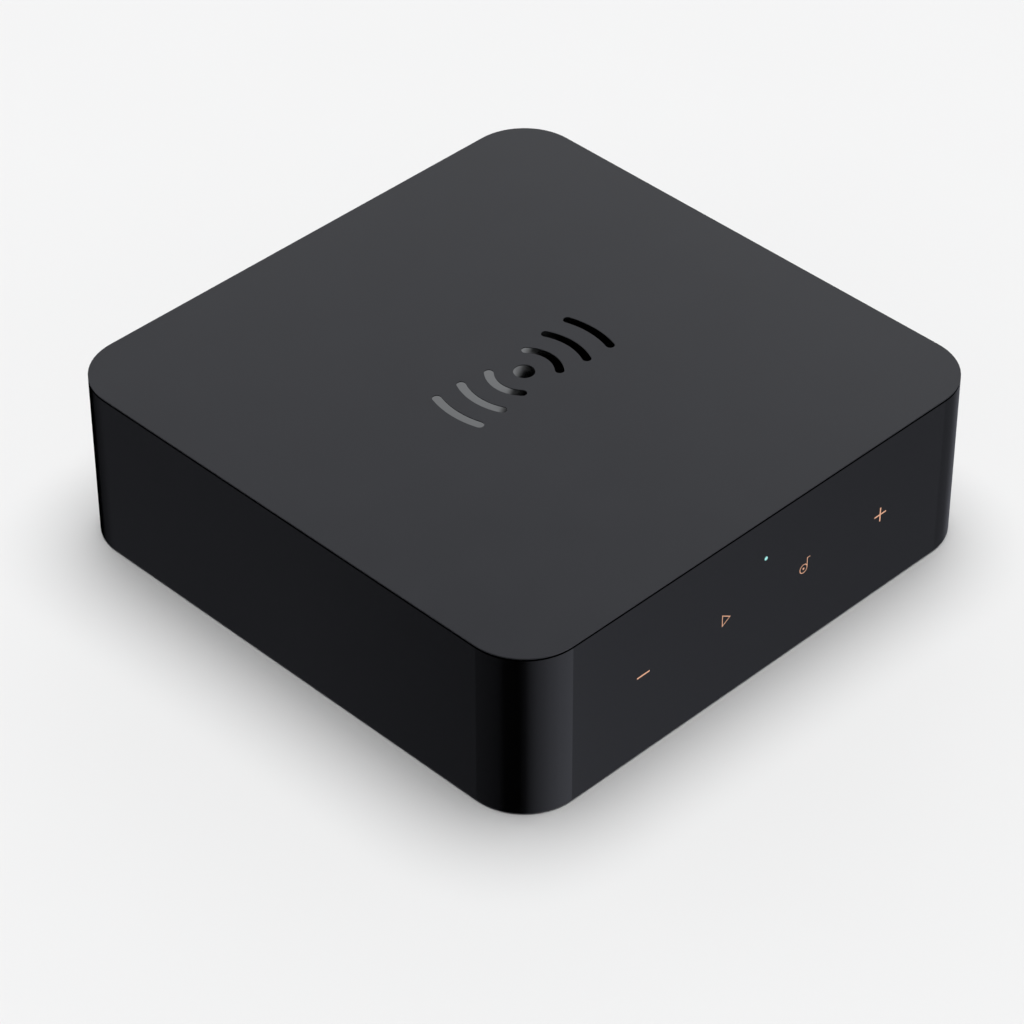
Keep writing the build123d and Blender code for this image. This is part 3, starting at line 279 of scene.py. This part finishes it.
finishes = {
    "lid_satin": finish("lid_satin", (0.0203, 0.0211, 0.0250), 0.30, vary=0.03, vary_scale=60,
                        rough_vary=0.012, rough_scale=130, grain=0.10, grain_scale=5200),
    "emblem_mirror": finish("emblem_mirror", (0.60, 0.61, 0.62), 0.02, metallic=1.0, vary=0.01,
                            rough_vary=0.01, rough_scale=400),
    "wall_gloss": finish("wall_gloss", (0.0011, 0.0011, 0.0012), 0.035, vary=0.25, vary_scale=35,
                         rough_vary=0.012, rough_scale=60, grain=0.010, grain_scale=260),
    "base_plastic": finish("base_plastic", (0.020, 0.020, 0.021), 0.55, grain=0.45, grain_scale=2600),
    "foot_rubber": finish("foot_rubber", (0.025, 0.025, 0.026), 0.85, vary=0.12, rough_vary=0.06,
                          grain=0.30, grain_scale=3200),
    "label_film": finish("label_film", (0.30, 0.30, 0.31), 0.38, vary=0.03, grain=0.05, grain_scale=1500),
    "screw_steel": finish("screw_steel", (0.12, 0.12, 0.125), 0.34, metallic=1.0, vary=0.15,
                          vary_scale=900, rough_vary=0.08, rough_scale=1500),
    "baffle_black": finish("baffle_black", (0.015, 0.015, 0.015), 0.7, grain=0.3, grain_scale=2600),
    "circuit_board": circuit_finish("circuit_board", (0.006, 0.034, 0.020), (0.012, 0.070, 0.040)),
    "copper": finish("copper", (0.72, 0.38, 0.22), 0.30, metallic=1.0, vary=0.10, vary_scale=500,
                     rough_vary=0.08),
    "lamp_white": finish("lamp_white", (0.80, 0.78, 0.70), 0.25, vary=0.04),
    "status_light": finish("status_light", (0.10, 0.34, 0.36), 0.2, vary=0.04, vary_scale=1500),
    "ribbon_film": ribbon_finish("ribbon_film", (0.72, 0.72, 0.70), (0.48, 0.47, 0.44)),
    "socket_cream": finish("socket_cream", (0.70, 0.66, 0.55), 0.5, vary=0.05, grain=0.15),
    "tray_plastic": finish("tray_plastic", (0.018, 0.018, 0.019), 0.5, grain=0.45, grain_scale=2600),
    "socket_black": finish("socket_black", (0.015, 0.015, 0.016), 0.45, vary=0.1, grain=0.2,
                           grain_scale=3400),
    "gold_plate": finish("gold_plate", (0.83, 0.62, 0.26), 0.22, metallic=1.0, vary=0.06,
                         vary_scale=600, rough_vary=0.07, rough_scale=1200),
    "insert_red": finish("insert_red", (0.60, 0.03, 0.025), 0.3, vary=0.06),
    "insert_white": finish("insert_white", (0.78, 0.78, 0.76), 0.3, vary=0.03),
    "insert_orange": finish("insert_orange", (0.80, 0.25, 0.02), 0.3, vary=0.05),
    "shutter_grey": finish("shutter_grey", (0.060, 0.060, 0.062), 0.48, vary=0.08, grain=0.25,
                           grain_scale=3000),
    "pin_steel": finish("pin_steel", (0.50, 0.50, 0.51), 0.28, metallic=1.0, vary=0.06,
                        vary_scale=800, stretch=(1, 1, 8)),
    "sender_clear": finish("sender_clear", (0.30, 0.04, 0.04), 0.12, vary=0.05),
    "nickel_sheet": finish("nickel_sheet", (0.60, 0.59, 0.56), 0.26, metallic=1.0, vary=0.05,
                           vary_scale=400, rough_vary=0.08, rough_scale=900, grain=0.06,
                           grain_scale=1800, stretch=(1, 1, 6)),
    "lamp_amber": finish("lamp_amber", (0.80, 0.50, 0.12), 0.2, vary=0.05),
    "module_laminate": circuit_finish("module_laminate", (0.006, 0.012, 0.040), (0.012, 0.026, 0.080)),
    "pad_silicone": finish("pad_silicone", (0.40, 0.42, 0.45), 0.75, vary=0.05, grain=0.3),
    "sink_black": finish("sink_black", (0.030, 0.030, 0.030), 0.45, metallic=1.0, vary=0.1,
                         grain=0.2, grain_scale=2400),
    "aerial_film": finish("aerial_film", (0.10, 0.09, 0.05), 0.3, vary=0.2, vary_scale=300),
    "lead_grey": finish("lead_grey", (0.20, 0.20, 0.20), 0.5, vary=0.08),
    "can_aluminium": finish("can_aluminium", (0.60, 0.60, 0.60), 0.32, metallic=1.0, vary=0.05,
                            vary_scale=500, stretch=(1, 1, 0.2), rough_vary=0.08),
    "ferrite": finish("ferrite", (0.070, 0.070, 0.070), 0.62, vary=0.12, vary_scale=900, grain=0.4),
    "chip_epoxy": finish("chip_epoxy", (0.020, 0.020, 0.021), 0.46, vary=0.2, vary_scale=420,
                         rough_vary=0.08, rough_scale=700, grain=0.5, grain_scale=5200),
    "passive_ceramic": finish("passive_ceramic", (0.35, 0.24, 0.15), 0.45, vary=0.25,
                              vary_scale=350),
    "symbol_copper": finish("symbol_copper", (0.75, 0.40, 0.25), 0.3, vary=0.05, vary_scale=500),
}
with_glow(finishes["status_light"], (0.50, 1.0, 0.92), 0.60)
with_glow(finishes["symbol_copper"], (1.0, 0.51, 0.31), 0.38)

for node in frame["nodes"].values():
    for place in node.material_slots:
        slot = place.material.name.split(".")[0]
        place.material = finishes[slot]


# Springs of the two optical shutters, each wound from one wire that twists as its shutter opens

def wire_piece(name, path, radius):
    """A round wire with ball ends along a path of points."""
    count = len(path)
    tangents = [(path[min(i + 1, count - 1)] - path[max(i - 1, 0)]).normalized() for i in range(count)]
    side = tangents[0].orthogonal().normalized()
    rings = []
    for index, (point, tangent) in enumerate(zip(path, tangents)):
        side = (side - tangent * side.dot(tangent)).normalized()
        other = tangent.cross(side)
        turns = [0.0]
        if index in (0, count - 1):
            turns = [math.pi / 2 * k / WIRE_END_RINGS for k in range(WIRE_END_RINGS)]
        outward = -1 if index == 0 else 1
        caps = [(point + tangent * outward * radius * math.sin(t), radius * math.cos(t)) for t in turns]
        for centre, reach in (reversed(caps) if index == 0 else caps):
            rings.append([centre + (side * math.cos(a) + other * math.sin(a)) * reach
                          for a in (2 * math.pi * k / WIRE_SIDES for k in range(WIRE_SIDES))])
    points = [point for ring in rings for point in ring]
    faces = []
    for ring in range(len(rings) - 1):
        for k in range(WIRE_SIDES):
            a, b = ring * WIRE_SIDES + k, ring * WIRE_SIDES + (k + 1) % WIRE_SIDES
            faces.append((a, b, b + WIRE_SIDES, a + WIRE_SIDES))
    for centre, ring, order in ((path[0] - tangents[0] * radius, 0, -1),
                                (path[-1] + tangents[-1] * radius, len(rings) - 1, 1)):
        points.append(centre)
        for k in range(WIRE_SIDES):
            a, b = ring * WIRE_SIDES + k, ring * WIRE_SIDES + (k + 1) % WIRE_SIDES
            faces.append((a, b, len(points) - 1)[::order])
    mesh = bpy.data.meshes.new(name)
    mesh.from_pydata(points, [], faces)
    for face in mesh.polygons:
        face.use_smooth = True
    piece = bpy.data.objects.new(name, mesh)
    bpy.context.scene.collection.objects.link(piece)
    return piece


def spring(joint):
    """One leg rides the shutter and the other bends inward under the roof of the socket."""
    node = joint["deforming_nodes"][0]["node"]
    low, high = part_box(node)
    pivot = Vector(joint["pos_m"])
    half = SPRING_WIRE / 2
    shutter_side, roof_side = low.x + half, high.x - half
    reach = high.y - pivot.y - half
    back, roof = pivot.y - reach, high.z - half
    path = [Vector((shutter_side, back, low.z + half))]
    steps = SPRING_TURNS * SPRING_TURN_STEPS
    for k in range(steps + 1):
        turn = 2 * math.pi * k / SPRING_TURN_STEPS
        x = shutter_side + (roof_side - shutter_side) * k / steps
        path.append(Vector((x, pivot.y - reach * math.cos(turn), pivot.z + reach * math.sin(turn))))
    for k in range(SPRING_CORNER_STEPS + 1):
        turn = math.pi / 2 * k / SPRING_CORNER_STEPS
        path.append(Vector((roof_side, back - SPRING_CORNER * (1 - math.cos(turn)),
                            roof - SPRING_CORNER * (1 - math.sin(turn)))))
    path.append(Vector((roof_side, low.y + half, roof)))
    piece = wire_piece(node + "_wire", path, half)
    piece.data.materials.append(finishes["pin_steel"])
    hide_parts(node)
    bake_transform(piece)


for hinge in frame["joints"]:
    spring(hinge)


# Floor

floor_mesh = bpy.data.meshes.new("floor")
half = FLOOR_SIZE / 2
floor_mesh.from_pydata([(-half, -half, 0), (half, -half, 0), (half, half, 0), (-half, half, 0)], [],
                       [(0, 1, 2, 3)])
floor = bpy.data.objects.new("floor", floor_mesh)
bpy.context.scene.collection.objects.link(floor)
floor.data.materials.append(finish("floor_paper", FLOOR_COLOUR, 0.9, vary=0.005, vary_scale=8,
                                   rough_vary=0.03, Specular_IOR_Level=0.1))
floor.visible_glossy = False


# Room: soft light that depends on the direction alone, with azimuths anticlockwise from +X

def azimuth_ramp(tree, azimuth, tint, stops):
    """Light by azimuth from (degrees, brightness) stops, the same at -180 as at 180."""
    table = [((degrees + 180) / 360, tuple(level * c for c in tint)) for degrees, level in stops]
    return ramp_node(tree, azimuth, table)


world = bpy.data.worlds.new("studio")
world.use_nodes = True
bpy.context.scene.world = world
sky = world.node_tree
sky.nodes.clear()
place = add_node(sky, "ShaderNodeTexCoord")
parts = add_node(sky, "ShaderNodeSeparateXYZ")
sky.links.new(place.outputs["Generated"], parts.inputs[0])
angle = math_node(sky, "ARCTAN2", parts.outputs["Y"], parts.outputs["X"])
turn = math_node(sky, "MULTIPLY_ADD", angle, 1 / (2 * math.pi))
turn.node.inputs[2].default_value = 0.5

low_room = azimuth_ramp(sky, turn, LOW_ROOM_TINT, LOW_ROOM_LEVELS)
high_room = azimuth_ramp(sky, turn, HIGH_ROOM_TINT, HIGH_ROOM_LEVELS)
horizon = azimuth_ramp(sky, turn, HORIZON_TINT, HORIZON_LEVELS)
lift = ramp_node(sky, parts.outputs["Z"], [(z, (gain,) * 3) for z, gain in HIGH_ROOM_GAIN])
lifted = add_node(sky, "ShaderNodeMix", data_type="RGBA", blend_type="MULTIPLY")
lifted.inputs[0].default_value = 1.0
sky.links.new(high_room, lifted.inputs[6])
sky.links.new(lift, lifted.inputs[7])

# The gap, with a leaning edge on its left, which the mirror finish shows
rise = math_node(sky, "ARCSINE", parts.outputs["Z"])
leaning = math_node(sky, "MULTIPLY_ADD", rise, -GAP_LEAN)
sky.links.new(angle, leaning.node.inputs[2])
left_of_gap = step(sky, leaning, math.radians(GAP_LEFT - GAP_LEFT_SOFTNESS),
                   math.radians(GAP_LEFT + GAP_LEFT_SOFTNESS))
right_of_gap = step(sky, angle, math.radians(GAP_RIGHT_START), math.radians(GAP_RIGHT_FULL))
over_gap = step(sky, parts.outputs["Z"], GAP_TOP_START, GAP_TOP_FULL)
beside_gap = math_node(sky, "MAXIMUM", left_of_gap, right_of_gap)
outside_gap = math_node(sky, "MAXIMUM", beside_gap, over_gap)

blend = step(sky, parts.outputs["Z"], -HALVES_MEET, HALVES_MEET)
glow = step(sky, parts.outputs["Z"], HORIZON_START, HORIZON_FULL)
below = mix_node(sky, glow, low_room, horizon)
gapped = mix_node(sky, outside_gap, (0.0, 0.0, 0.0), lifted.outputs[2])
both = mix_node(sky, blend, below, gapped)
seen = add_node(sky, "ShaderNodeLightPath")
backdrop = mix_node(sky, seen.outputs["Is Camera Ray"], both, BACKDROP_COLOUR)
ground = add_node(sky, "ShaderNodeBackground")
sky.links.new(backdrop, ground.inputs["Color"])
output = add_node(sky, "ShaderNodeOutputWorld")
sky.links.new(ground.outputs[0], output.inputs["Surface"])


# Wide soft light from overhead, even over the whole floor

overhead_data = bpy.data.lights.new("overhead_light", "SUN")
overhead_data.energy = OVERHEAD_STRENGTH
overhead_data.angle = math.radians(OVERHEAD_ANGLE)
overhead = bpy.data.objects.new("overhead_light", overhead_data)
overhead.rotation_euler = (math.radians(OVERHEAD_TILT[0]), math.radians(OVERHEAD_TILT[1]), 0)
overhead.visible_glossy = False
bpy.context.scene.collection.objects.link(overhead)


# Camera

azimuth, elevation, roll = (math.radians(a) for a in (CAMERA_AZIMUTH, CAMERA_ELEVATION, CAMERA_ROLL))
back = Vector((math.sin(azimuth) * math.cos(elevation), -math.cos(azimuth) * math.cos(elevation),
               math.sin(elevation)))
level_right = Vector((math.cos(azimuth), math.sin(azimuth), 0))
level_up = back.cross(level_right)
right = level_right * math.cos(roll) + level_up * math.sin(roll)
up = level_up * math.cos(roll) - level_right * math.sin(roll)
camera_data = bpy.data.cameras.new("camera")
camera_data.lens = CAMERA_LENS
camera_data.sensor_width = CAMERA_SENSOR
camera_data.clip_start = CAMERA_NEAR
camera_data.clip_end = CAMERA_FAR
camera = bpy.data.objects.new("camera", camera_data)
bpy.context.scene.collection.objects.link(camera)
turned = Matrix((right, up, back)).transposed().to_4x4()
turned.translation = CAMERA_TARGET + back * CAMERA_DISTANCE
camera.matrix_world = turned
bpy.context.scene.camera = camera

bpy.context.scene.view_settings.view_transform = "Standard"
